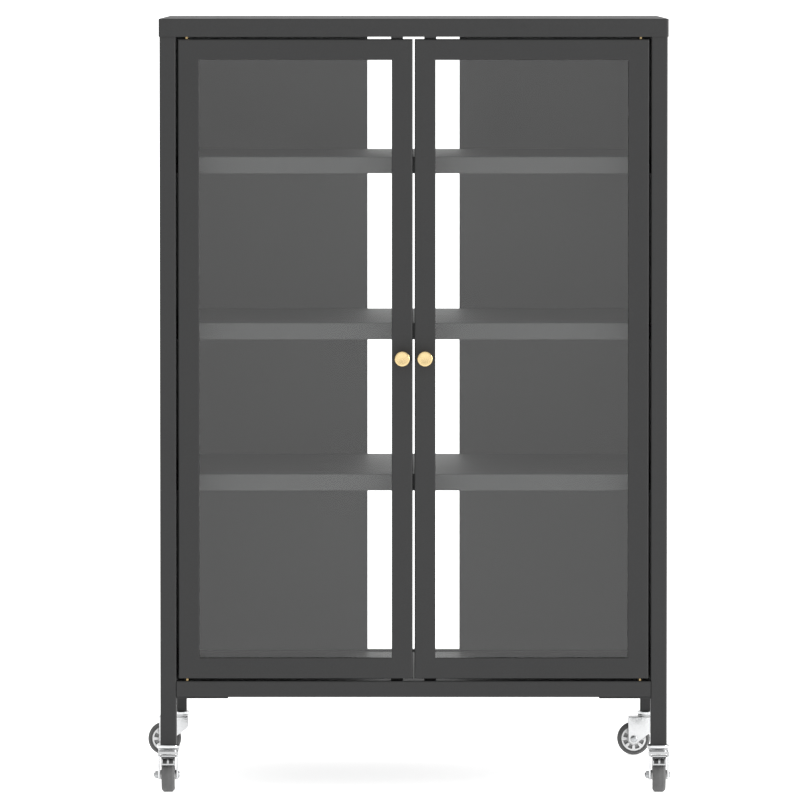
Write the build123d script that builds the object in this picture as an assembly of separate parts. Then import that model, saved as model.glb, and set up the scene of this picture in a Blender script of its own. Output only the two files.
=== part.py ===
from build123d import *
import os

# Media cabinet: a square-tube steel frame on swivel casters, with two framed glass doors.
# Millimetres. +Z is up and the front faces -Y. The origin is on the floor, below the middle.

# ---- Whole cabinet ---------------------------------------------------------------------------
width = 560.0            # across the posts
depth = 455.0            # front of the front posts to back of the rear posts
height = 853.4           # floor to the top of the cap
caster_height = 51.0     # floor to the bottom of the posts
bottom_rail_z = 104.0    # underside of the bottom rails

# ---- Square tube and sheet -------------------------------------------------------------------
tube = 18.0              # outside of the square tube
tube_wall = 1.2
tube_radius = 1.8        # outside corner of the tube
sheet = 1.2              # panels, shelves and the floor panel
cap_sheet = 1.0
cap_skirt = 20.0         # height of the cap's turned-down edge
cap_edge_radius = 0.9

# ---- Panels and shelves ----------------------------------------------------------------------
back_gap = 106.0         # open strip between the two back panels
back_panel_inset = 3.5   # panel flanges end this far inside the rear faces of the posts
back_flange = 12.0
side_panel_inset = 2.0   # side sheet lies this far inside the posts' outer faces
floor_panel_drop = 2.0   # floor panel lies this far below the top of the bottom rails
floor_flange = 14.0
shelf_tops = {"lower_shelf": 349.2, "middle_shelf": 516.8, "upper_shelf": 700.6}
shelf_lip = 18.3
shelf_setback = 35.0     # front of a shelf behind the front of the posts
shelf_side_gap = 1.5
shelf_back_gap = 7.0
shelf_edge_radius = 1.4
runner_leg = 18.0        # upright leg of the angle that carries a shelf
runner_wall = 1.5
runner_reach = 14.0      # how far the runner reaches in under the shelf
gusset_reach = 57.0      # corner plate, from the post along each rail
gusset_sheet = 1.4
gusset_end = 11.0        # width of the plate at each end
gusset_edge_inset = 0.8

# ---- Doors -----------------------------------------------------------------------------------
door_side_gap = 2.4
door_centre_gap = 2.0
door_bottom_gap = 2.6
door_top_gap = 2.4
door_member = 23.1       # visible width of the frame around the glass
door_tube = 17.0         # width of the hollow part of the frame member
door_depth = 14.0
door_wall = 1.5
door_lip = 3.0           # thickness of the lip in front of the glass
door_edge_radius = 1.8
door_opening_radius = 0.9
corner_block = 28.0      # solid part at each corner of the frame
glass_thickness = 4.0
gasket_lip = 1.0
gasket_web = 1.1
glazing_clearance = 0.1
bead_depth = 5.0

# ---- Door pivots -----------------------------------------------------------------------------
pin_from_edge = 9.3      # pivot axis from the door's outer edge
pin_from_front = 5.0     # pivot axis behind the door's front face
pin_radius = 1.8
pin_in_door = 16.0
pin_in_rail = 7.6
pivot_clearance = 0.05   # radial
bush_radius = 3.6
bush_length = 9.0
bush_floor = 1.3         # closed end of each bush

# ---- Knobs -----------------------------------------------------------------------------------
knob_radius = 8.4
knob_rise = 1.2          # knob's centre above the middle of the door
knob_foot_radius = 5.0
knob_neck_radius = 3.4
knob_foot = 1.6
knob_neck_length = 6.0
knob_projection = 17.0
knob_screw_radius = 2.0
knob_screw_hole_radius = 2.2
knob_screw_in_knob = 8.0
knob_screw_head_radius = 4.0
knob_screw_head = 2.6

# ---- Door stops ------------------------------------------------------------------------------
stop_width = 13.3
stop_from_centre = 11.7
stop_length = 18.0       # upright leg behind the door
stop_leg = 1.9
stop_top_leg = 2.7       # leg that fills the gap above the door
stop_front_inset = 1.5
magnet_size = 10.0
magnet_thickness = 2.0

# ---- Casters ---------------------------------------------------------------------------------
wheel_radius = 19.0
wheel_width = 14.4
tyre_chamfer = 2.2
hub_radius = 14.1
hub_web = 9.0            # hub thickness at the bottom of the recesses
hub_boss_radius = 5.2
hub_boss_width = 17.8
hub_rim = 1.7
recess_count = 8
recess_inner = 7.4
recess_outer = 11.9
recess_angle = 26.0
trail = 16.5             # wheel axle from the swivel axis
axle_radius = 2.5
axle_clearance = 0.05    # radial
axle_head_radius = 3.7
axle_head = 1.6
axle_nut_across = 8.0
axle_nut = 3.2
axle_end = 1.4           # thread beyond the nut
fork_inside = 18.4       # between the legs
fork_sheet = 2.0
fork_back = 10.5         # crown behind the swivel axis
fork_front = 22.9        # crown ahead of the swivel axis
fork_crown_top = 44.9
fork_crown = 2.7
fork_heel_z = 32.0       # lowest point of the leg's rear edge
fork_eye_radius = 5.8    # leg around the axle
race_radius = 11.6
race_height = 1.4
race_gap = 0.3           # between the two halves of the swivel bearing
flange_radius = 12.7
flange_edge_radius = 1.2
stem_radius = 4.0
stem_length = 32.0
kingpin_radius = 3.0
kingpin_clearance = 0.05
kingpin_head_radius = 5.5
kingpin_head = 1.6
socket_length = 36.0
pedal_width = 15.2
pedal_pivot = (23.2, 40.0)    # along the trail and above the floor
pedal_pivot_radius = 1.7
pedal_inner = 20.5       # curved plate, measured from the wheel axle
pedal_outer = 22.0
pedal_top_angle = 71.0
pedal_tip_angle = 31.0
pedal_lip = 24.0         # outer edge of the lip, measured from the wheel axle
pedal_lip_angle = 4.0
pedal_rib_width = 2.2    # bar between the pedal's two windows
pedal_side_width = 1.8   # bar beside each window
pedal_window_angles = (36.0, 60.0)
brake_pin_radius = 1.0
brake_ear_radius = 2.8

# ---- Side screws -----------------------------------------------------------------------------
screw_radius = 1.9
screw_head_radius = 3.6
screw_head = 1.6
screw_length = 3.6
screw_inset = 60.0       # from each end of a runner

# ---- Worked out from the above ---------------------------------------------------------------
half_width = width / 2
half_depth = depth / 2
inner_x = half_width - tube
inner_y = half_depth - tube
rail_top = bottom_rail_z + tube
tube_top = height - cap_sheet
top_rail_z = tube_top - tube
door_bottom = rail_top + door_bottom_gap
door_top = height - cap_skirt - door_top_gap
door_outer = inner_x - door_side_gap
door_inner = door_centre_gap / 2
door_front = -half_depth
door_back = door_front + door_depth
knob_x = door_inner + door_member / 2
knob_z = (door_bottom + door_top) / 2 + knob_rise
pin_x = door_outer - pin_from_edge
pin_y = door_front + pin_from_front
post_axes = {
    "front_left": (-half_width + tube / 2, -half_depth + tube / 2),
    "front_right": (half_width - tube / 2, -half_depth + tube / 2),
    "rear_left": (-half_width + tube / 2, half_depth - tube / 2),
    "rear_right": (half_width - tube / 2, half_depth - tube / 2),
}
trail_direction = {"front_left": -90.0, "front_right": -90.0, "rear_left": 180.0, "rear_right": 180.0}
braked = ("front_left", "front_right")


def block(x, y, z):
    """Box between the two limits given for each axis."""
    size = [axis[1] - axis[0] for axis in (x, y, z)]
    middle = [(axis[0] + axis[1]) / 2 for axis in (x, y, z)]
    return Pos(*middle) * Box(*size)


def on_both_sides(shape):
    """The shape and its mirror image across the middle of the cabinet."""
    return Compound(children=[shape, mirror(shape, about=Plane.YZ)])


def group(shapes):
    """Separate solids kept together as one sub-part."""
    return Compound(children=list(shapes))


# ---- Frame -----------------------------------------------------------------------------------
def square_tube(length):
    """Hollow square tube from the origin along +Z."""
    inside = tube - 2 * tube_wall
    section = RectangleRounded(tube, tube, tube_radius)
    section -= RectangleRounded(inside, inside, tube_radius - tube_wall)
    return extrude(section, length)


def post(name):
    x, y = post_axes[name]
    return Pos(x, y, caster_height) * square_tube(tube_top - caster_height)


def rail_ring(z):
    """Four tubes between the posts, with their undersides at z: front, rear, left and right."""
    across = Rot(0, 90, 0) * square_tube(2 * inner_x)
    along = Rot(-90, 0, 0) * square_tube(2 * inner_y)
    rail_x = half_width - tube / 2
    rail_y = half_depth - tube / 2
    middle = z + tube / 2
    front = Pos(-inner_x, -rail_y, middle) * across
    rear = Pos(-inner_x, rail_y, middle) * across
    left = Pos(-rail_x, -inner_y, middle) * along
    right = Pos(rail_x, -inner_y, middle) * along
    return front, rear, left, right


def bush_pocket(z):
    """Round pockets for the two door bushes whose mouths are at height z."""
    pocket = Cylinder(bush_radius, 2 * bush_length)
    return [Pos(side * pin_x, pin_y, z) * pocket for side in (-1, 1)]


def top_rails():
    front, rear, left, right = rail_ring(top_rail_z)
    for pocket in bush_pocket(top_rail_z):
        front -= pocket
    return group([front, rear, left, right])


def bottom_rails():
    front, rear, left, right = rail_ring(bottom_rail_z)
    for pocket in bush_pocket(rail_top):
        front -= pocket
    return group([front, rear, left, right])


def top_cap():
    """Sheet cap with turned-down edges, slipped over the top of the frame."""
    x = half_width + cap_sheet
    y = half_depth + cap_sheet
    outside = block((-x, x), (-y, y), (height - cap_skirt, height))
    outside = fillet(outside.edges().filter_by(Axis.Z), tube_radius + cap_sheet)
    outside = fillet(outside.faces().sort_by(Axis.Z)[-1].edges(), cap_edge_radius)
    inside = block((-half_width, half_width), (-half_depth, half_depth), (height - cap_skirt, tube_top))
    inside = fillet(inside.edges().filter_by(Axis.Z), tube_radius)
    return outside - inside


def corner_gussets():
    """Flat plates welded under the bottom rails, one around the inside of each post."""
    near = gusset_edge_inset
    far = tube + gusset_reach
    along_front = [(tube, near), (far, near), (far, gusset_end)]
    along_side = [(gusset_end, far), (near, far), (near, tube), (tube, tube)]
    plate = extrude(make_face(Polyline(along_front + along_side, close=True)), gusset_sheet)
    front_left = Pos(-half_width, -half_depth, bottom_rail_z - gusset_sheet) * plate
    front = [front_left, mirror(front_left, about=Plane.YZ)]
    return group(front + [mirror(plate, about=Plane.XZ) for plate in front])


def floor_panel():
    """Tray between the bottom rails, with its edges turned down."""
    top = rail_top - floor_panel_drop
    tray = block((-inner_x, inner_x), (-inner_y, inner_y), (top - floor_flange, top))
    x = inner_x - sheet
    y = inner_y - sheet
    return tray - block((-x, x), (-y, y), (top - floor_flange, top - sheet))


def side_panel(side):
    """Sheet between the posts and rails, with its four edges turned inwards. side is -1 for the left."""
    outer = half_width - side_panel_inset
    pan = block((inner_x, outer), (-inner_y, inner_y), (rail_top, top_rail_z))
    y = inner_y - sheet
    pan -= block((inner_x, outer - sheet), (-y, y), (rail_top + sheet, top_rail_z - sheet))
    for top in shelf_tops.values():
        for place in runner_screw_axes(top):
            pan -= place * Cylinder(screw_radius, 2 * screw_length)
    return pan if side > 0 else mirror(pan, about=Plane.YZ)


def back_panel(side):
    """Half-width sheet beside the open strip, with its four edges turned backwards."""
    back = half_depth - back_panel_inset
    front = back - back_flange
    pan = block((back_gap / 2, inner_x), (front, back), (rail_top, top_rail_z))
    hollow_x = (back_gap / 2 + sheet, inner_x - sheet)
    pan -= block(hollow_x, (front + sheet, back), (rail_top + sheet, top_rail_z - sheet))
    return pan if side > 0 else mirror(pan, about=Plane.YZ)


def shelf_depth_limits():
    back_sheet = half_depth - back_panel_inset - back_flange
    return -half_depth + shelf_setback, back_sheet - shelf_back_gap


def shelf(top):
    """Tray with a turned-down lip on all four edges."""
    x = inner_x - shelf_side_gap
    front, back = shelf_depth_limits()
    tray = block((-x, x), (front, back), (top - shelf_lip, top))
    tray = fillet(tray.edges().filter_by(Axis.X).group_by(Axis.Z)[-1], shelf_edge_radius)
    x_inside = x - sheet
    y_inside = (front + sheet, back - sheet)
    return tray - block((-x_inside, x_inside), y_inside, (top - shelf_lip, top - sheet))


def runner(top):
    """Right-hand angle under one shelf, screwed to the inside of the side panel."""
    wall = half_width - side_panel_inset - sheet
    front, back = shelf_depth_limits()
    seat = top - shelf_lip
    y = (front + runner_wall, back)
    angle = block((inner_x - runner_reach, wall), y, (seat - runner_wall, seat))
    angle += block((wall - runner_wall, wall), y, (seat - runner_leg, seat))
    for z_axis in runner_screw_axes(top):
        angle -= z_axis * Cylinder(screw_radius, 4 * screw_length)
    return angle


def runner_screw_axes(top):
    """Places of one runner's two screws, with local +Z pointing out of the cabinet's right side."""
    front, back = shelf_depth_limits()
    z = top - shelf_lip - runner_leg / 2 - runner_wall / 2
    outer = half_width - side_panel_inset
    return [Pos(outer, y, z) * Rot(0, 90, 0) for y in (front + screw_inset, back - screw_inset)]


def shelf_runners():
    return group([part for top in shelf_tops.values() for part in on_both_sides(runner(top)).solids()])


def panel_screws():
    """Pan-head screws that hold the runners, with their heads outside the side panels."""
    shank = Pos(0, 0, -screw_length / 2) * Cylinder(screw_radius, screw_length)
    head = Pos(0, 0, screw_head / 2) * Cylinder(screw_head_radius, screw_head)
    head = fillet(head.edges().sort_by(Axis.Z)[-1], screw_head / 2)
    places = [place for top in shelf_tops.values() for place in runner_screw_axes(top)]
    screws = [part for place in places for part in on_both_sides(place * (head + shank)).solids()]
    return group(screws)


# ---- Doors, modelled on the right and mirrored for the left ----------------------------------
def door_ring(outer, inner, y):
    """Rectangular ring in the door's plane, between two distances in from the door's edge."""
    ring = door_area(outer, y)
    return ring - door_area(inner, y)


def door_area(inset, y):
    return block((door_inner + inset, door_outer - inset), y, (door_bottom + inset, door_top - inset))


def door_cavities():
    """The hollows of the four tubes, between the solid corner blocks."""
    y = (door_front + door_wall, door_back - door_wall)
    near = door_wall
    far = door_tube - door_wall
    z = (door_bottom + corner_block, door_top - corner_block)
    x = (door_inner + corner_block, door_outer - corner_block)
    return [
        block((door_inner + near, door_inner + far), y, z),
        block((door_outer - far, door_outer - near), y, z),
        block(x, y, (door_bottom + near, door_bottom + far)),
        block(x, y, (door_top - far, door_top - near)),
    ]


def door_frame():
    """Welded frame, hollow outside the glass and a thin lip in front of it."""
    frame = door_area(0, (door_front, door_back))
    outline = frame.faces().sort_by(Axis.Y)
    frame = fillet(outline[0].edges() + outline[-1].edges(), door_edge_radius)
    frame -= door_area(door_member, (door_front, door_back))
    front = frame.faces().sort_by(Axis.Y)[0]
    frame = fillet(front.inner_wires()[0].edges(), door_opening_radius)
    frame -= door_area(door_tube, (door_front + door_lip, door_back))
    for cavity in door_cavities():
        frame -= cavity
    for pin in pivot_pins():
        frame -= pin
    hole = Rot(90, 0, 0) * Cylinder(knob_screw_hole_radius, 4 * door_depth)
    return frame - Pos(knob_x, door_front, knob_z) * hole


def door_glass():
    front = door_front + door_lip + gasket_lip
    inset = door_tube + glazing_clearance + gasket_web
    return door_area(inset, (front, front + glass_thickness))


def door_gasket():
    """U-shaped seal around the edge of the glass."""
    front = door_front + door_lip
    back = front + 2 * gasket_lip + glass_thickness
    ring = door_ring(door_tube + glazing_clearance, door_member - gasket_web, (front, back))
    return ring - door_glass()


def door_beads():
    """Four flat bars behind the seal: two full-height, and two between them."""
    y = (door_back - bead_depth, door_back)
    outer = door_tube + glazing_clearance
    inner = door_member - gasket_web
    z = (door_bottom + outer, door_top - outer)
    x = (door_inner + inner, door_outer - inner)
    return group([
        block((door_inner + outer, door_inner + inner), y, z),
        block((door_outer - inner, door_outer - outer), y, z),
        block(x, y, (door_bottom + outer, door_bottom + inner)),
        block(x, y, (door_top - inner, door_top - outer)),
    ])


def pivot_pins():
    """Lower and upper pin, fixed in the door and running in the bushes."""
    low = pin_between(rail_top - pin_in_rail, door_bottom + pin_in_door)
    high = pin_between(door_top - pin_in_door, top_rail_z + pin_in_rail)
    return [low, high]


def pin_between(z_low, z_high):
    length = z_high - z_low
    return Pos(pin_x, pin_y, z_low + length / 2) * Cylinder(pin_radius, length)


def pivot_bushes():
    """Four closed-end bushes pressed into the rails."""
    bush = Pos(0, 0, bush_length / 2) * Cylinder(bush_radius, bush_length)
    bore_depth = bush_length - bush_floor
    bush -= Pos(0, 0, bore_depth / 2) * Cylinder(pin_radius + pivot_clearance, bore_depth)
    upper = Pos(pin_x, pin_y, top_rail_z) * bush
    lower = Pos(pin_x, pin_y, rail_top) * Rot(180, 0, 0) * bush
    return group([part for one in (upper, lower) for part in on_both_sides(one).solids()])


def knob():
    """Turned knob standing out of the door's front face."""
    profile = Polyline((0, 0), (knob_foot_radius, 0), (knob_foot_radius, knob_foot))
    neck_end = knob_foot + knob_neck_length
    profile += Spline(
        (knob_foot_radius, knob_foot),
        (knob_neck_radius, (knob_foot + neck_end) / 2),
        (knob_radius, neck_end + 2 * knob_foot),
        tangents=((-1, 0), (0, 1)),
    )
    crown_start = neck_end + 2 * knob_foot
    profile += Spline((knob_radius, crown_start), (0, knob_projection), tangents=((0, 1), (-1, 0)))
    profile += Line((0, knob_projection), (0, 0))
    turned = revolve(make_face(profile), Axis.Y)
    turned = Rot(180, 0, 0) * turned
    bore = Rot(90, 0, 0) * Cylinder(knob_screw_radius, 2 * knob_screw_in_knob)
    return Pos(knob_x, door_front, knob_z) * (turned - bore)


def knob_screw():
    """Screw from the back of the door into the knob."""
    length = door_depth + knob_screw_in_knob
    shank = Rot(90, 0, 0) * Cylinder(knob_screw_radius, length)
    shank = Pos(0, length / 2 - knob_screw_in_knob, 0) * shank
    head = Pos(0, door_depth + knob_screw_head / 2, 0) * (
        Rot(90, 0, 0) * Cylinder(knob_screw_head_radius, knob_screw_head)
    )
    head = fillet(head.edges().sort_by(Axis.Y)[-1], knob_screw_head / 2)
    return Pos(knob_x, door_front, knob_z) * (shank + head)


def door_parts():
    return {
        "door_frame": door_frame(),
        "door_glass": door_glass(),
        "door_gasket": door_gasket(),
        "door_glazing_beads": door_beads(),
        "door_knob": knob(),
        "door_knob_screw": knob_screw(),
        "door_pivot_pins": group(pivot_pins()),
    }


# ---- Door stops ------------------------------------------------------------------------------
def door_stops():
    """Welded stops behind the doors. The upper ones also fill the gap above the door."""
    x = (stop_from_centre, stop_from_centre + stop_width)
    back = -inner_y
    upright = (back - stop_leg, back)
    upper = block(x, upright, (top_rail_z - stop_length, top_rail_z))
    upper += block(x, (-half_depth + stop_front_inset, back), (top_rail_z - stop_top_leg, top_rail_z))
    lower = block(x, upright, (rail_top, rail_top + stop_length))
    return group([part for one in (upper, lower) for part in on_both_sides(one).solids()])


def stop_magnets():
    """Flat magnets on the front of the stops, just behind the closed doors."""
    middle = stop_from_centre + stop_width / 2
    x = (middle - magnet_size / 2, middle + magnet_size / 2)
    back = -inner_y - stop_leg
    y = (back - magnet_thickness, back)
    ends = (top_rail_z - stop_length, rail_top + stop_length - magnet_size)
    magnets = [on_both_sides(block(x, y, (z, z + magnet_size))) for z in ends]
    return group([part for pair in magnets for part in pair.solids()])


# ---- Casters, modelled with the swivel axis on Z and the wheel trailing along +X -------------
def caster_socket():
    """Insert that fills the bottom of a post and holds the stem."""
    inside = tube - 2 * tube_wall
    insert = extrude(RectangleRounded(inside, inside, tube_radius - tube_wall), socket_length)
    insert -= Pos(0, 0, stem_length / 2) * Cylinder(stem_radius, stem_length)
    return Pos(0, 0, caster_height) * insert


def caster_stem():
    """Stem, upper half of the swivel bearing, and the pin that carries the fork."""
    flange_bottom = fork_crown_top + race_height + race_gap
    flange_middle = (flange_bottom + caster_height) / 2
    flange = Pos(0, 0, flange_middle) * Cylinder(flange_radius, caster_height - flange_bottom)
    flange = fillet(flange.edges().filter_by(GeomType.CIRCLE), flange_edge_radius)
    stem_top = caster_height + stem_length
    stem = Pos(0, 0, (flange_bottom + stem_top) / 2) * Cylinder(stem_radius, stem_top - flange_bottom)
    head_top = fork_crown_top - fork_crown - race_gap
    kingpin_middle = (head_top + flange_bottom) / 2
    kingpin = Pos(0, 0, kingpin_middle) * Cylinder(kingpin_radius, flange_bottom - head_top)
    head = Pos(0, 0, head_top - kingpin_head / 2) * Cylinder(kingpin_head_radius, kingpin_head)
    return flange + stem + kingpin + head


def fork_leg_outline(with_brake):
    """Side of the fork: straight at the crown, narrowing to a round eye at the axle."""
    crown = Pos((fork_front - fork_back) / 2, fork_crown_top - fork_crown / 2) * Rectangle(
        fork_front + fork_back, fork_crown
    )
    heel = Rectangle(fork_crown, fork_crown)
    heel = Pos(-fork_back + fork_crown / 2, fork_heel_z + fork_crown / 2) * heel
    eye = Pos(trail, wheel_radius) * Circle(fork_eye_radius)
    edges = crown.edges() + heel.edges() + eye.edges()
    if with_brake:
        ear = Pos(*pedal_pivot) * Circle(brake_ear_radius)
        edges += ear.edges()
    return make_hull(edges)


def fork(with_brake):
    """Pressed steel fork: a crown plate with a raised bearing race, and two legs."""
    half_outside = fork_inside / 2 + fork_sheet
    outline = Plane.XZ * fork_leg_outline(with_brake)
    body = extrude(outline, half_outside, both=True)
    body -= block(
        (-2 * fork_front, 2 * fork_front),
        (-fork_inside / 2, fork_inside / 2),
        (0, fork_crown_top - fork_crown),
    )
    body = fillet(body.edges().filter_by(Axis.X).group_by(Axis.Z)[-1], fork_sheet / 2)
    body += Pos(0, 0, fork_crown_top + race_height / 2) * Cylinder(race_radius, race_height)
    body -= Pos(0, 0, fork_crown_top) * Cylinder(kingpin_radius + kingpin_clearance, 4 * fork_crown)
    body -= Pos(trail, 0, wheel_radius) * along_axle(axle_radius, 4 * half_outside)
    if with_brake:
        body -= Pos(pedal_pivot[0], 0, pedal_pivot[1]) * along_axle(brake_pin_radius, 4 * half_outside)
    return body


def along_axle(radius, length):
    """Cylinder along Y, centred on the origin."""
    return Rot(90, 0, 0) * Cylinder(radius, length)


def axle_bolt():
    """Bolt through the fork and the wheel, and its nut on the -Y side, as two solids."""
    half_outside = fork_inside / 2 + fork_sheet
    nut_outside = half_outside + axle_nut
    length = 2 * half_outside + axle_nut + axle_end
    shank = Pos(0, half_outside - length / 2, 0) * along_axle(axle_radius, length)
    head = Pos(0, half_outside + axle_head / 2, 0) * along_axle(axle_head_radius, axle_head)
    head = fillet(head.edges().sort_by(Axis.Y)[-1], axle_head / 2)
    hexagon = RegularPolygon(axle_nut_across / 2, 6, major_radius=False) - Circle(axle_radius)
    nut = Pos(0, -half_outside, 0) * (Rot(90, 0, 0) * extrude(hexagon, nut_outside - half_outside))
    place = Pos(trail, 0, wheel_radius)
    return group([place * (shank + head), place * nut])


def wheel_hub():
    """Moulded wheel centre with wedge-shaped recesses on both faces and a boss around the axle."""
    hub = along_axle(hub_radius, wheel_width) + along_axle(hub_boss_radius, hub_boss_width)
    outer = (hub_radius - hub_rim + recess_outer) / 2
    wedge = Circle(outer) - Circle(recess_inner)
    reach = 2 * hub_radius
    half_angle = recess_angle / 2
    slice_outline = Polyline((0, 0), polar(reach, -half_angle), polar(reach, half_angle), close=True)
    wedge &= make_face(slice_outline)
    depth_each = (wheel_width - hub_web) / 2
    for step in range(recess_count):
        angle = (step + 0.5) * 360 / recess_count
        for face in (-1, 1):
            pocket = Rot(90, 0, 0) * (Rot(0, 0, angle) * extrude(wedge, depth_each, both=True))
            hub -= Pos(0, face * wheel_width / 2, 0) * pocket
    hub -= along_axle(axle_radius + axle_clearance, 2 * hub_boss_width)
    return Pos(trail, 0, wheel_radius) * hub


def polar(radius, degrees):
    point = Vector(radius, 0, 0).rotate(Axis.Z, degrees)
    return point.X, point.Y


def tyre():
    ring = along_axle(wheel_radius, wheel_width)
    ring = chamfer(ring.edges().filter_by(GeomType.CIRCLE), tyre_chamfer)
    return Pos(trail, 0, wheel_radius) * (ring - along_axle(hub_radius, 2 * wheel_width))


def brake_pin():
    length = fork_inside + 2 * fork_sheet
    return Pos(pedal_pivot[0], 0, pedal_pivot[1]) * along_axle(brake_pin_radius, length)


def sector(inner, outer, first, last):
    """Part of a ring about the wheel axle, between two angles above the trail direction."""
    ring = Circle(outer) - Circle(inner)
    reach = 2 * outer
    wedge = make_face(Polyline((0, 0), polar(reach, first), polar(reach, last), close=True))
    return Pos(trail, wheel_radius) * (ring & wedge)


def brake_pedal():
    """Curved pedal over the front of the tyre, hinged under the fork's crown, with two windows."""
    barrel = Pos(*pedal_pivot) * Circle(pedal_pivot_radius)
    plate = sector(pedal_inner, pedal_outer, pedal_tip_angle, pedal_top_angle)
    lip = sector(pedal_inner, pedal_lip, pedal_tip_angle, pedal_tip_angle + pedal_lip_angle)
    pedal = extrude(Plane.XZ * (barrel + plate + lip), pedal_width / 2, both=True)
    window_width = (pedal_width - pedal_rib_width) / 2 - pedal_side_width
    window_outline = sector(pedal_inner / 2, 2 * pedal_lip, *pedal_window_angles)
    window = extrude(Plane.XZ * window_outline, window_width / 2, both=True)
    for side in (-1, 1):
        pedal -= Pos(0, side * (pedal_rib_width + window_width) / 2, 0) * window
    bore = along_axle(brake_pin_radius + axle_clearance, 2 * pedal_width)
    return pedal - Pos(pedal_pivot[0], 0, pedal_pivot[1]) * bore


def caster_parts(corner):
    """The sub-parts of one caster, standing under its post."""
    with_brake = corner in braked
    x, y = post_axes[corner]
    place = Pos(x, y, 0) * Rot(0, 0, trail_direction[corner])
    parts = {
        "caster_stem": caster_stem(),
        "caster_fork": fork(with_brake),
        "caster_axle_bolt": axle_bolt(),
        "caster_hub": wheel_hub(),
        "caster_tyre": tyre(),
    }
    if with_brake:
        parts["caster_brake_pin"] = brake_pin()
        parts["caster_brake_pedal"] = brake_pedal()
    return {f"{corner}_{name}": place * shape for name, shape in parts.items()}


# ---- All sub-parts ---------------------------------------------------------------------------
def all_parts():
    parts = {
        "top_cap": top_cap(),
        "top_rails": top_rails(),
        "bottom_rails": bottom_rails(),
        "floor_panel": floor_panel(),
        "left_side_panel": side_panel(-1),
        "right_side_panel": side_panel(1),
        "left_back_panel": back_panel(-1),
        "right_back_panel": back_panel(1),
        "shelf_runners": shelf_runners(),
        "corner_gussets": corner_gussets(),
        "pivot_bushes": pivot_bushes(),
        "door_stops": door_stops(),
        "stop_magnets": stop_magnets(),
        "panel_screws": panel_screws(),
        "caster_sockets": group([Pos(x, y, 0) * caster_socket() for x, y in post_axes.values()]),
    }
    for name, top in shelf_tops.items():
        parts[name] = shelf(top)
    for corner in post_axes:
        parts[f"{corner}_post"] = post(corner)
        parts.update(caster_parts(corner))
    for name, shape in door_parts().items():
        parts[f"right_{name}"] = shape
        parts[f"left_{name}"] = mirror(shape, about=Plane.YZ)
    return parts


os.makedirs("parts", exist_ok=True)
for node, shape in all_parts().items():
    export_step(shape, f"parts/{node}.step")
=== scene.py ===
# The looks of the media cabinet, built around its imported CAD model.
# Metres. +Z is up and the front faces -Y.
import math

import bmesh
import bpy
from mathutils import Matrix, Vector


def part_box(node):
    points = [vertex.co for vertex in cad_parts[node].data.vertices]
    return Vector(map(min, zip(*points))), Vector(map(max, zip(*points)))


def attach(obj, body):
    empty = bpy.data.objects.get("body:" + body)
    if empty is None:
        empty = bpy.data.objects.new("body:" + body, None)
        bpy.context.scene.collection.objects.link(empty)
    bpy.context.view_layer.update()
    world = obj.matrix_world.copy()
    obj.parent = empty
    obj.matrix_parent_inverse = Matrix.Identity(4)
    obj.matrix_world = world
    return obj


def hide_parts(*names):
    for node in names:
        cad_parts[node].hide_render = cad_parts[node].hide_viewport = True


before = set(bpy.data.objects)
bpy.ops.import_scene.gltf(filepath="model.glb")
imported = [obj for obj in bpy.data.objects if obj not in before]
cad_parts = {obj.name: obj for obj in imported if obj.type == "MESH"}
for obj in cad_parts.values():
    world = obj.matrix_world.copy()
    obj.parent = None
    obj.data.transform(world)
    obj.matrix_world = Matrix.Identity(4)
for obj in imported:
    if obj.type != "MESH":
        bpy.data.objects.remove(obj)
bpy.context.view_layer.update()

# ---- Camera and light ------------------------------------------------------------------------
camera_place = (-0.0042, -9.9175, 0.925)
camera_down = 2.9065         # degrees below level
camera_left = 0.064          # degrees towards -X
camera_lens = 395.7         # mm, on the sensor below
camera_sensor = 36.0         # mm across
camera_reach = 2000.0
world_strength = 1.0
light_target = (0.0, 0.0, 0.45)
side_light_place = (5.0, -0.75, 1.4)
side_light_size = (1.0, 4.0)
side_light_power = 220.0
floor_size = 1200.0
floor_level = 0.9
floor_rough = 0.8
floor_glow = 0.70

# ---- Driving sizes of the pieces made here ---------------------------------------------------
turned_segments = 96
small_segments = 40
smooth_angle = math.radians(32)

knob_foot_share = 0.61      # radius of the knob's foot over that of its head
knob_neck_share = 0.42      # radius of its neck over that of its head
knob_foot_height = 0.10     # heights over the knob's whole length
knob_neck_start = 0.12
knob_head_start = 0.56
knob_flare = 0.36           # height of the curve from the neck out to the head
knob_flare_angles = (12, 30, 45, 58, 70, 80)
knob_back_edge = 0.0005     # bevel round the back of the head
knob_rim = 0.0012           # rounding between the head's face and its side
knob_dish = 0.0002          # how far the face is hollowed
knob_face_shares = (0.9, 0.6, 0.3)

tyre_shoulder = 0.0025      # bevel between a tyre's tread and its side
tyre_edge = 0.0003          # rounding of the bevel's own edges
tyre_ring = 0.0016          # width of the moulded groove in each side of a tyre
tyre_groove = 0.00035       # its depth
seam_height = 0.00005       # mould seam round the middle of the tread
seam_width = 0.0003

screw_inset = 0.060         # panel screws from each end of a shelf
screw_below_shelf = 0.00975 # panel screws below a shelf's lower edge
screw_radius = 0.0019
screw_shank = 0.0036
screw_head_radius = 0.0036
screw_head_height = 0.0016
screw_tip_share = 0.1       # bevelled tip over the shank's length
screw_side_share = 0.45     # upright side of the head over its height
screw_turn = 2.4            # radians from one screw's recess to the next
recess_width = 0.28         # arm of a screw's cross recess over its head's radius
recess_length = 1.16        # length of the recess over its head's radius
recess_depth = 0.0011

bolt_radius = 0.0025
bolt_head_radius = 0.0037
bolt_head = 0.0016
bolt_end = 0.0014           # thread beyond the nut
nut_across = 0.008
nut_thickness = 0.0032
thread_pitch = 0.0007
thread_depth = 0.00025
thread_turns = 8
dome_step = 15              # degrees between the rings of a domed head

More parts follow.
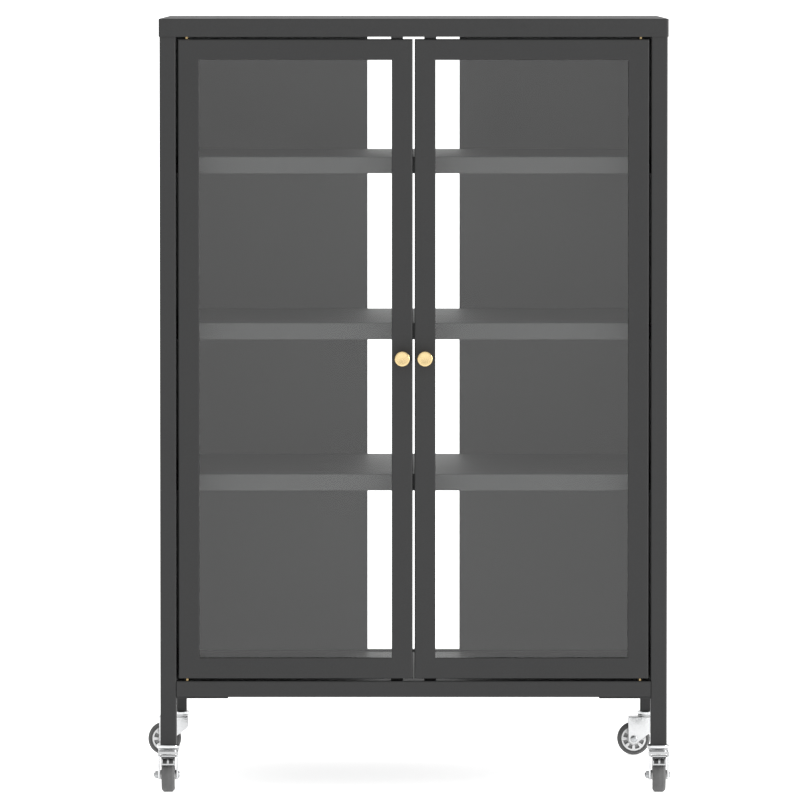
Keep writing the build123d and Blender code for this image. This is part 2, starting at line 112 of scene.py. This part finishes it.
corners = ("front_left", "front_right", "rear_left", "rear_right")
doors = ("left_door", "right_door")


# ---- Material helpers ------------------------------------------------------------------------
class Tree:
    """A material's nodes, with short calls to add and join them."""

    def __init__(self, name):
        self.material = bpy.data.materials.new(name)
        self.material.use_nodes = True
        self.nodes = self.material.node_tree.nodes
        self.shader = self.nodes["Principled BSDF"]
        self.output = self.nodes["Material Output"]
        self.place = self.add("ShaderNodeTexCoord").outputs["Object"]

    def add(self, kind, **settings):
        node = self.nodes.new(kind)
        for key, value in settings.items():
            setattr(node, key, value)
        return node

    def join(self, source, target):
        self.material.node_tree.links.new(source, target)

    def set(self, **values):
        """Set constants on the shader, with spaces in socket names written as underscores."""
        for key, value in values.items():
            self.shader.inputs[key.replace("_", " ")].default_value = value

    def noise(self, size, detail=2.0, rough=0.5, place=None):
        """Noise whose features are about size metres across."""
        node = self.add("ShaderNodeTexNoise")
        node.inputs["Scale"].default_value = 1.0 / size
        node.inputs["Detail"].default_value = detail
        node.inputs["Roughness"].default_value = rough
        self.join(place or self.place, node.inputs["Vector"])
        return node.outputs["Fac"]

    def spread(self, value, low, high, start=0.3, end=0.7):
        """The value taken from start..end to low..high."""
        node = self.add("ShaderNodeMapRange")
        numbers = {"From Min": start, "From Max": end, "To Min": low, "To Max": high}
        for name, number in numbers.items():
            node.inputs[name].default_value = number
        self.join(value, node.inputs["Value"])
        return node.outputs["Result"]

    def blend(self, factor, first, second):
        """Colour between two colours, each a grey level, a triple or a socket."""
        node = self.add("ShaderNodeMix", data_type="RGBA")
        self.join(factor, node.inputs["Factor"])
        for name, colour in (("A", first), ("B", second)):
            socket = [s for s in node.inputs if s.name == name and s.type == "RGBA"][0]
            if isinstance(colour, bpy.types.NodeSocket):
                self.join(colour, socket)
            else:
                socket.default_value = (*colour, 1.0)
        return [s for s in node.outputs if s.type == "RGBA"][0]

    def bump(self, height, depth, strength=1.0, normal=None):
        """Normal raised by height, depth metres from its lowest to its highest."""
        node = self.add("ShaderNodeBump")
        node.inputs["Distance"].default_value = depth
        node.inputs["Strength"].default_value = strength
        self.join(height, node.inputs["Height"])
        if normal is not None:
            self.join(normal, node.inputs["Normal"])
        return node.outputs["Normal"]

    def painted_crevice_shade(self, reach, dark, open_colour, painted_shade_colour):
        """Painted shade: colour that darkens where other surfaces stand within reach metres, standing
        in for the shade that falls there.
        """
        node = self.add("ShaderNodeAmbientOcclusion", samples=8)
        node.inputs["Distance"].default_value = reach
        closed = self.spread(node.outputs["AO"], 1, 0, dark, 1.0)
        return self.blend(closed, open_colour, painted_shade_colour)

    def softened(self, radius):
        """Normal as if every edge were rounded to this radius."""
        node = self.add("ShaderNodeBevel", samples=4)
        node.inputs["Radius"].default_value = radius
        return node.outputs["Normal"]

    def finish(self, colour=None, roughness=None, normal=None):
        """Join what is given to the shader, and return the material."""
        sources = {"Base Color": colour, "Roughness": roughness, "Normal": normal}
        for socket, source in sources.items():
            if source is not None:
                self.join(source, self.shader.inputs[socket])
        return self.material


def grey(level, tint=0.0):
    """A linear grey, slightly blue for a tint above zero."""
    return (level * (1 - tint), level, level * (1 + tint))


# ---- Materials -------------------------------------------------------------------------------
paint_tint = 0.01


def powder_coat(name, level, grain):
    """Satin powder coat: fine orange peel, slow clouding, and specks grain times as bright."""
    tree = Tree(name)
    tree.set(Specular_IOR_Level=0.36)
    clouds = tree.noise(0.09, detail=3.0)
    specks = tree.noise(0.0017, detail=2.0)
    darker = grey(level * 0.97, paint_tint)
    lighter = grey(level * 1.03, paint_tint)
    colour = tree.blend(tree.spread(clouds, 0, 1), darker, lighter)
    colour = tree.blend(tree.spread(specks, 0, 1), colour, grey(level * grain, paint_tint))
    peel = tree.noise(0.0016, detail=2.0)
    roughness = tree.spread(tree.noise(0.03), 0.49, 0.53)
    normal = tree.bump(peel, 0.00005, strength=0.5, normal=tree.softened(0.0005))
    return tree.finish(colour, roughness, normal)


def frame_paint():
    return powder_coat("frame_paint", level=0.0190, grain=1.2)


# The shelves' coat is set lighter than the frame's; the extra lightness is painted light, standing in
# for light on the shelves behind the glass.
def shelf_paint():
    return powder_coat("shelf_paint", level=0.047, grain=1.35)


def panel_coat_painted_light():
    """Painted light: the back panels' coat, set much lighter than the frame's to stand in for light
    reaching inside the cabinet.
    """
    return powder_coat("panel_coat_painted_light", level=0.100, grain=1.4)


def brass():
    """Turned and lacquered brass, with fine rings about each piece's own axis."""
    tree = Tree("brass")
    tree.set(Metallic=1.0)
    rings = tree.add("ShaderNodeTexWave", wave_type="RINGS", rings_direction="Z")
    rings.inputs["Scale"].default_value = 900.0
    rings.inputs["Distortion"].default_value = 0.4
    tree.join(tree.place, rings.inputs["Vector"])
    bloom = tree.noise(0.004, detail=3.0)
    colour = tree.blend(tree.spread(bloom, 0, 1), (0.62, 0.475, 0.245), (0.68, 0.525, 0.275))
    # Painted shade: the brass darkens to a deep brown where other surfaces stand within 4 mm, standing
    # in for the shade there.
    colour = tree.painted_crevice_shade(0.004, 0.4, colour, (0.16, 0.11, 0.05))
    roughness = tree.spread(tree.noise(0.002), 0.16, 0.26)
    normal = tree.bump(rings.outputs["Fac"], 0.000004, normal=tree.softened(0.0002))
    return tree.finish(colour, roughness, normal)


def glass():
    """Clear pane.

    Only its outward faces mirror, at about the strength of both of a real pane's surfaces.
    """
    tree = Tree("glass")
    tree.nodes.remove(tree.shader)
    clear = tree.add("ShaderNodeBsdfTransparent")
    tint = tree.noise(0.2)
    colour = tree.blend(tree.spread(tint, 0, 1), (0.975, 0.985, 0.98), (0.985, 0.99, 0.985))
    tree.join(colour, clear.inputs["Color"])
    mirror = tree.add("ShaderNodeBsdfGlossy")
    smudge = tree.noise(0.05, detail=4.0)
    tree.join(tree.spread(smudge, 0.02, 0.09), mirror.inputs["Roughness"])
    fresnel = tree.add("ShaderNodeFresnel")
    fresnel.inputs["IOR"].default_value = 1.70
    outward = tree.add("ShaderNodeMath", operation="SUBTRACT")
    outward.inputs[0].default_value = 1.0
    tree.join(tree.add("ShaderNodeNewGeometry").outputs["Backfacing"], outward.inputs[1])
    share = tree.add("ShaderNodeMath", operation="MULTIPLY")
    tree.join(fresnel.outputs["Fac"], share.inputs[0])
    tree.join(outward.outputs["Value"], share.inputs[1])
    mix = tree.add("ShaderNodeMixShader")
    tree.join(share.outputs["Value"], mix.inputs[0])
    tree.join(clear.outputs["BSDF"], mix.inputs[1])
    tree.join(mirror.outputs["BSDF"], mix.inputs[2])
    tree.join(mix.outputs["Shader"], tree.output.inputs["Surface"])
    return tree.material


def seal():
    """Extruded black rubber, with faint lines and a matt bloom."""
    tree = Tree("seal")
    tree.set(Specular_IOR_Level=0.35)
    bloom = tree.noise(0.012, detail=4.0)
    colour = tree.blend(tree.spread(bloom, 0, 1), grey(0.008), grey(0.018))
    roughness = tree.spread(tree.noise(0.004), 0.62, 0.8)
    normal = tree.bump(tree.noise(0.0008), 0.00003)
    return tree.finish(colour, roughness, normal)


def plated(name, level, tint, rough_low, rough_high, grain, shade):
    """Bright plating over steel, with cloudy roughness and faint pressing marks grain across."""
    tree = Tree(name)
    tree.set(Metallic=1.0)
    clouds = tree.noise(0.006, detail=4.0, rough=0.6)
    colour = tree.blend(tree.spread(clouds, 0, 1), grey(level * 0.93, tint), grey(level, tint))
    # Painted shade: the plating darkens by the shade factor where other surfaces stand close, in
    # joints and recesses.
    colour = tree.painted_crevice_shade(0.006, 0.35, colour, grey(level * shade, tint))
    roughness = tree.spread(tree.noise(0.0015, detail=3.0), rough_low, rough_high)
    normal = tree.bump(tree.noise(grain, detail=2.0), 0.00001, normal=tree.softened(0.0003))
    return tree.finish(colour, roughness, normal)


def steel():
    return plated(
        "steel", level=0.50, tint=0.02,
        rough_low=0.22, rough_high=0.34, grain=0.0006, shade=0.5,
    )


def caster_chrome():
    return plated(
        "caster_chrome", level=0.70, tint=0.01,
        rough_low=0.06, rough_high=0.14, grain=0.002, shade=0.25,
    )


def moulded(name, level, tint, rough_low, rough_high, edge):
    """Moulded plastic: even colour with slight flow marks and a fine sparked texture."""
    tree = Tree(name)
    tree.set(Specular_IOR_Level=0.45)
    flow = tree.noise(0.01, detail=3.0)
    darker = grey(level * 0.95, tint)
    lighter = grey(level * 1.05, tint)
    colour = tree.blend(tree.spread(flow, 0, 1), darker, lighter)
    # Painted shade: the plastic darkens to a quarter of its level where other surfaces stand close, in
    # recesses and joints.
    colour = tree.painted_crevice_shade(0.004, 0.3, colour, grey(level * 0.25, tint))
    roughness = tree.spread(tree.noise(0.003), rough_low, rough_high)
    normal = tree.bump(tree.noise(0.0004), 0.00002, normal=tree.softened(edge))
    return tree.finish(colour, roughness, normal)


def magnet():
    return moulded(
        "magnet", level=0.02, tint=0.03,
        rough_low=0.5, rough_high=0.65, edge=0.0004,
    )


def socket_plastic():
    return moulded(
        "socket_plastic", level=0.016, tint=0.02,
        rough_low=0.45, rough_high=0.6, edge=0.0003,
    )


def hub_plastic():
    return moulded(
        "hub_plastic", level=0.74, tint=0.005,
        rough_low=0.28, rough_high=0.4, edge=0.0005,
    )


def tyre_rubber():
    """Non-marking grey rubber, dusty in patches, with the fine pits of its mould."""
    tree = Tree("tyre")
    tree.set(Specular_IOR_Level=0.4)
    dust = tree.noise(0.008, detail=5.0, rough=0.6)
    colour = tree.blend(tree.spread(dust, 0, 1), grey(0.075), grey(0.11))
    roughness = tree.spread(tree.noise(0.004), 0.5, 0.7)
    normal = tree.bump(tree.noise(0.0005), 0.00004)
    return tree.finish(colour, roughness, normal)


finishes = {
    "frame_paint": frame_paint(),
    "shelf_paint": shelf_paint(),
    "brass": brass(),
    "glass": glass(),
    "seal": seal(),
    "steel": steel(),
    "magnet": magnet(),
    "socket_plastic": socket_plastic(),
    "caster_chrome": caster_chrome(),
    "hub_plastic": hub_plastic(),
    "tyre": tyre_rubber(),
}


def slot_of(node):
    """The record's material slot of a CAD node, read from its imported material's name."""
    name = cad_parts[node].data.materials[0].name
    return name.split(".")[0]


slots = {node: slot_of(node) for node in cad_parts}
# The back panels take a coat lightened as painted light, standing in for light inside the cabinet.
painted_light_panels = panel_coat_painted_light()


def finish_of(node):
    return painted_light_panels if node.endswith("back_panel") else finishes[slots[node]]


def finish_cad_nodes():
    for node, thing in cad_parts.items():
        for index in range(len(thing.data.materials)):
            thing.data.materials[index] = finish_of(node)


# ---- Mesh helpers ----------------------------------------------------------------------------
def add_piece(name, mesh_data, slot, body, place=Matrix.Identity(4), stands_for=()):
    """Put a finished mesh in the scene as a piece that rides on a body."""
    thing = bpy.data.objects.new(name, mesh_data)
    bpy.context.scene.collection.objects.link(thing)
    thing.matrix_world = place
    mesh_data.materials.clear()
    mesh_data.materials.append(finishes[slot])
    mesh_data.shade_smooth()
    mesh_data.set_sharp_from_angle(angle=smooth_angle)
    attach(thing, body)
    if stands_for:
        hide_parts(*stands_for)
    return thing


def turned_mesh(name, profile, segments=turned_segments):
    """Mesh turned about local Z.

    profile lists (radius, z). It starts and ends on the axis, or else is closed on itself.
    """
    shape = bmesh.new()
    rings = []
    for radius, z in profile:
        if radius == 0:
            rings.append([shape.verts.new((0, 0, z))])
            continue
        angles = [2 * math.pi * step / segments for step in range(segments)]
        circle = [(radius * math.cos(a), radius * math.sin(a), z) for a in angles]
        rings.append([shape.verts.new(point) for point in circle])
    closed = len(rings[0]) > 1 and len(rings[-1]) > 1
    pairs = list(zip(rings, rings[1:])) + ([(rings[-1], rings[0])] if closed else [])
    for first, second in pairs:
        for step in range(segments):
            following = (step + 1) % segments
            loop = [first[step % len(first)], first[following % len(first)]]
            loop += [second[following % len(second)], second[step % len(second)]]
            unique = list(dict.fromkeys(loop))
            shape.faces.new(unique)
    bmesh.ops.recalc_face_normals(shape, faces=shape.faces)
    return from_bmesh(name, shape)


def arc(centre, radius, first, last, steps=8):
    """Points on an arc in a profile, by angles in degrees from the radial direction towards +Z."""
    angles = [math.radians(first + (last - first) * step / steps) for step in range(steps + 1)]
    return [(centre[0] + radius * math.cos(a), centre[1] + radius * math.sin(a)) for a in angles]


def dome(radius, base, height, first_angle):
    """Points up a domed head in a profile, from first_angle degrees to just short of its top."""
    turns = [math.radians(angle) for angle in range(first_angle, 90, dome_step)]
    return [(radius * math.cos(turn), base + height * math.sin(turn)) for turn in turns]


def facing(centre, direction):
    """Place with local +Z along direction."""
    turn = Vector(direction).to_track_quat("Z", "Y").to_matrix().to_4x4()
    return Matrix.Translation(centre) @ turn


def box_centre(node):
    low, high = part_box(node)
    return (low + high) / 2


def from_bmesh(name, shape):
    data = bpy.data.meshes.new(name)
    shape.to_mesh(data)
    shape.free()
    return data


def joined_mesh(name, parts):
    """One mesh from (mesh, place) pairs."""
    shape = bmesh.new()
    for data, place in parts:
        start = len(shape.verts)
        shape.from_mesh(data)
        shape.verts.ensure_lookup_table()
        bmesh.ops.transform(shape, matrix=place, verts=shape.verts[start:])
    return from_bmesh(name, shape)


def prism_mesh(name, outline, low, high):
    """Upright prism on a flat outline of (x, y) points, between two heights."""
    shape = bmesh.new()
    bottom = [shape.verts.new((x, y, low)) for x, y in outline]
    top = [shape.verts.new((x, y, high)) for x, y in outline]
    shape.faces.new(list(reversed(bottom)))
    shape.faces.new(top)
    for index in range(len(outline)):
        following = (index + 1) % len(outline)
        shape.faces.new((bottom[index], bottom[following], top[following], top[index]))
    return from_bmesh(name, shape)


def combined_mesh(name, first, second, operation):
    """Boolean of two closed meshes."""
    things = []
    for index, data in enumerate((first, second)):
        thing = bpy.data.objects.new(f"{name}_{index}", data)
        bpy.context.scene.collection.objects.link(thing)
        things.append(thing)
    cut = things[0].modifiers.new("cut", "BOOLEAN")
    cut.operation = operation
    cut.solver = "EXACT"
    cut.object = things[1]
    graph = bpy.context.evaluated_depsgraph_get()
    data = bpy.data.meshes.new_from_object(things[0].evaluated_get(graph))
    data.name = name
    for thing in things:
        bpy.data.objects.remove(thing)
    return data


# ---- Screws and bolts ------------------------------------------------------------------------
def cross_outline(length, width):
    """Outline of a plus sign."""
    far, near = length / 2, width / 2
    corner = [(far, -near), (far, near), (near, near)]
    return [
        (x * cosine - y * sine, x * sine + y * cosine)
        for cosine, sine in ((1, 0), (0, 1), (-1, 0), (0, -1))
        for x, y in corner
    ]


def pan_screw_mesh(name, head_radius, head_height, shank_radius, shank_length):
    """Pan-head screw with a cross recess. The underside of its head is at local z 0."""
    tip = screw_tip_share * shank_length
    side = screw_side_share * head_height
    profile = [(0, -shank_length), (shank_radius - tip / 2, -shank_length)]
    profile += [(shank_radius, tip - shank_length), (shank_radius, 0)]
    profile += [(head_radius - side / 4, 0), (head_radius, side / 3)]
    profile += dome(head_radius, side, head_height - side, dome_step)
    profile += [(0, head_height)]
    whole = turned_mesh(f"{name}_blank", profile, small_segments)
    outline = cross_outline(recess_length * head_radius, recess_width * head_radius)
    cutter = prism_mesh(f"{name}_cross", outline, head_height - recess_depth, 2 * head_height)
    return combined_mesh(name, whole, cutter, "DIFFERENCE")


def add_panel_screws():
    """The screws that hold the shelf runners, with their painted heads outside the side panels."""
    node = "panel_screws"
    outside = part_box("right_side_panel")[1].x
    single = pan_screw_mesh(
        f"{node}_single",
        screw_head_radius,
        screw_head_height,
        screw_radius,
        screw_shank,
    )
    parts = []
    for shelf in ("lower_shelf", "middle_shelf", "upper_shelf"):
        low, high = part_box(shelf)
        for y in (low.y + screw_inset, high.y - screw_inset):
            for side in (-1, 1):
                turn = Matrix.Rotation(screw_turn * len(parts), 4, "Z")
                place = facing((side * outside, y, low.z - screw_below_shelf), (side, 0, 0))
                parts.append((single, place @ turn))
    data = joined_mesh(f"{node}_driven", parts)
    add_piece(data.name, data, "frame_paint", "cabinet", stands_for=[node])


def add_knob_screws():
    """Screw from the back of each door into its knob."""
    for door in doors:
        node = f"{door}_knob_screw"
        low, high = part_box(node)
        centre = box_centre(node)
        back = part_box(f"{door}_frame")[1].y
        radius = (high.x - low.x) / 2
        data = pan_screw_mesh(f"{node}_driven", radius, high.y - back, radius / 2, back - low.y)
        place = facing((centre.x, back, centre.z), (0, 1, 0))
        add_piece(data.name, data, "steel", door, place, [node])


def nut_mesh(name, bore):
    """Hexagonal nut from local z 0 upwards, with its corners turned away at both ends."""
    flat = nut_across / 2
    corner = nut_across / math.sqrt(3)
    rise = (corner - flat) / 2
    angles = [math.radians(angle) for angle in range(0, 360, 60)]
    outline = [(corner * math.cos(angle), corner * math.sin(angle)) for angle in angles]
    hexagon = prism_mesh(f"{name}_hexagon", outline, 0, nut_thickness)
    profile = [(bore, 0), (flat, 0), (corner, rise)]
    profile += [(corner, nut_thickness - rise), (flat, nut_thickness), (bore, nut_thickness)]
    limits = turned_mesh(f"{name}_limits", profile, 2 * small_segments)
    return combined_mesh(name, hexagon, limits, "INTERSECT")


def bolt_profile(length):
    """Bolt whose domed head stands above local z 0, threaded towards its lower end."""
    root = bolt_radius - thread_depth
    profile = [(0, -length), (root - thread_depth, -length)]
    for turn in range(thread_turns):
        z = thread_depth + turn * thread_pitch - length
        profile += [(root, z), (bolt_radius, z + thread_pitch / 2)]
    profile += [(bolt_radius, 0), (bolt_head_radius, 0)]
    side = bolt_head / 3
    profile += dome(bolt_head_radius, side, bolt_head - side, 0)
    return profile + [(0, bolt_head)]


def add_axle_bolts():
    """Bolt through each fork. Its nut is on the side that reaches further from the wheel."""
    for corner in corners:
        node = f"{corner}_caster_axle_bolt"
        low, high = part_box(node)
        centre = box_centre(node)
        axis = Vector(wheel_axis(f"{corner}_caster_tyre"))
        middle = box_centre(f"{corner}_caster_tyre").dot(axis)
        nut_side = axis if centre.dot(axis) > middle else -axis
        half_length = (high - low).dot(axis) / 2
        head_seat = centre - nut_side * (half_length - bolt_head)
        nut_seat = centre + nut_side * (half_length - bolt_end - nut_thickness)
        shank = 2 * half_length - bolt_head
        bolt = turned_mesh(f"{node}_shank", bolt_profile(shank), small_segments)
        nut = nut_mesh(f"{node}_nut", bolt_radius - thread_depth)
        places = [(bolt, facing(head_seat, -nut_side)), (nut, facing(nut_seat, nut_side))]
        data = joined_mesh(f"{node}_fitted", places)
        add_piece(data.name, data, "steel", f"{corner}_fork", stands_for=[node])


# ---- Knobs -----------------------------------------------------------------------------------
def knob_profile(radius, length):
    """Foot, waisted neck, and a head with a rounded rim and a slightly hollowed face."""
    foot_radius = knob_foot_share * radius
    foot = knob_foot_height * length
    neck_radius = knob_neck_share * radius
    head_start = knob_head_start * length
    profile = [(0, 0), (foot_radius, 0)]
    profile += arc((foot_radius - foot / 2, foot / 2), foot / 2, 0, 90, 5)
    profile += [(neck_radius, knob_neck_start * length)]
    waist = radius - neck_radius
    flare = knob_flare * length
    for angle in knob_flare_angles:
        z = head_start - flare * (1 - angle / 90)
        profile.append((radius - waist * math.cos(math.radians(angle)), z))
    profile += [(radius - knob_back_edge, head_start), (radius, head_start + knob_back_edge)]
    profile += arc((radius - knob_rim, length - knob_rim), knob_rim, 0, 90, 10)
    face = radius - 2 * knob_rim
    for share in knob_face_shares:
        profile.append((face * share, length - knob_dish * (1 - share ** 2)))
    return profile + [(0, length - knob_dish)]


def add_knobs():
    for door in doors:
        node = f"{door}_knob"
        low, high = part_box(node)
        centre = box_centre(node)
        radius = (high.x - low.x) / 2
        data = turned_mesh(f"{node}_turned", knob_profile(radius, high.y - low.y))
        place = facing((centre.x, high.y, centre.z), (0, -1, 0))
        add_piece(f"{node}_turned", data, "brass", door, place, [node])


# ---- Casters ---------------------------------------------------------------------------------
def tyre_profile(outer, inner, width):
    """Tread with its mould seam, bevelled shoulders and a groove round each side, closed on itself."""
    half = width / 2
    tread = half - tyre_shoulder
    side = outer - tyre_shoulder
    groove = (side + inner) / 2
    rounding = 0.4 * tyre_edge
    one_side = [
        (outer, tread - tyre_edge),
        (outer - rounding, tread + rounding),
        (side + rounding, half - rounding),
        (side - tyre_edge, half),
        (groove + tyre_ring / 2, half),
        (groove + tyre_ring / 4, half - tyre_groove),
        (groove - tyre_ring / 4, half - tyre_groove),
        (groove - tyre_ring / 2, half),
        (inner + tyre_edge, half),
        (inner, half - tyre_edge),
    ]
    seam = [(outer, -seam_width / 2), (outer + seam_height, 0), (outer, seam_width / 2)]
    return [(radius, -z) for radius, z in reversed(one_side)] + seam + one_side


def wheel_axis(node):
    """Unit vector along the wheel's axle: the short side of its box."""
    low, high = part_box(node)
    size = high - low
    return (1, 0, 0) if size.x < size.y else (0, 1, 0)


def add_tyres():
    for corner in corners:
        node = f"{corner}_caster_tyre"
        low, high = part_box(node)
        hub_low, hub_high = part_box(f"{corner}_caster_hub")
        outer = (high.z - low.z) / 2 - seam_height
        inner = (hub_high.z - hub_low.z) / 2
        width = min(high.x - low.x, high.y - low.y)
        data = turned_mesh(f"{node}_moulded", tyre_profile(outer, inner, width))
        place = facing(box_centre(node), wheel_axis(node))
        add_piece(f"{node}_moulded", data, "tyre", f"{corner}_wheel", place, [node])


# ---- Stage -----------------------------------------------------------------------------------
def floor_white():
    tree = Tree("floor")
    tree.set(Base_Color=(*grey(floor_level), 1.0), Roughness=floor_rough)
    tree.set(Emission_Color=(1, 1, 1, 1), Emission_Strength=floor_glow)
    return tree.material


def add_floor():
    """Pale floor, lit a little from below like a light table."""
    half = floor_size / 2
    data = bpy.data.meshes.new("floor")
    outline = [(-half, -half, 0), (half, -half, 0), (half, half, 0), (-half, half, 0)]
    data.from_pydata(outline, [], [(0, 1, 2, 3)])
    data.materials.append(floor_white())
    floor = bpy.data.objects.new("floor", data)
    bpy.context.scene.collection.objects.link(floor)


def add_world():
    world = bpy.data.worlds.new("studio")
    world.use_nodes = True
    world.node_tree.nodes["Background"].inputs["Color"].default_value = (1, 1, 1, 1)
    world.node_tree.nodes["Background"].inputs["Strength"].default_value = world_strength
    bpy.context.scene.world = world


def add_side_light():
    """Tall soft light on the right, a little forward of the doors."""
    data = bpy.data.lights.new("side_light", "AREA")
    data.shape = "RECTANGLE"
    data.size, data.size_y = side_light_size
    data.energy = side_light_power
    lamp = bpy.data.objects.new("side_light", data)
    lamp.location = side_light_place
    lamp.rotation_mode = "QUATERNION"
    aim = Vector(light_target) - Vector(side_light_place)
    lamp.rotation_quaternion = aim.to_track_quat("-Z", "Y")
    bpy.context.scene.collection.objects.link(lamp)


def add_camera():
    data = bpy.data.cameras.new("camera")
    data.sensor_width = camera_sensor
    data.lens = camera_lens
    data.clip_end = camera_reach
    camera = bpy.data.objects.new("camera", data)
    camera.location = camera_place
    camera.rotation_euler = (math.radians(90 - camera_down), 0, math.radians(camera_left))
    bpy.context.scene.collection.objects.link(camera)
    bpy.context.scene.camera = camera


finish_cad_nodes()
add_knobs()
add_tyres()
add_axle_bolts()
add_panel_screws()
add_knob_screws()
add_world()
add_floor()
add_side_light()
add_camera()
bpy.context.scene.view_settings.view_transform = "Standard"
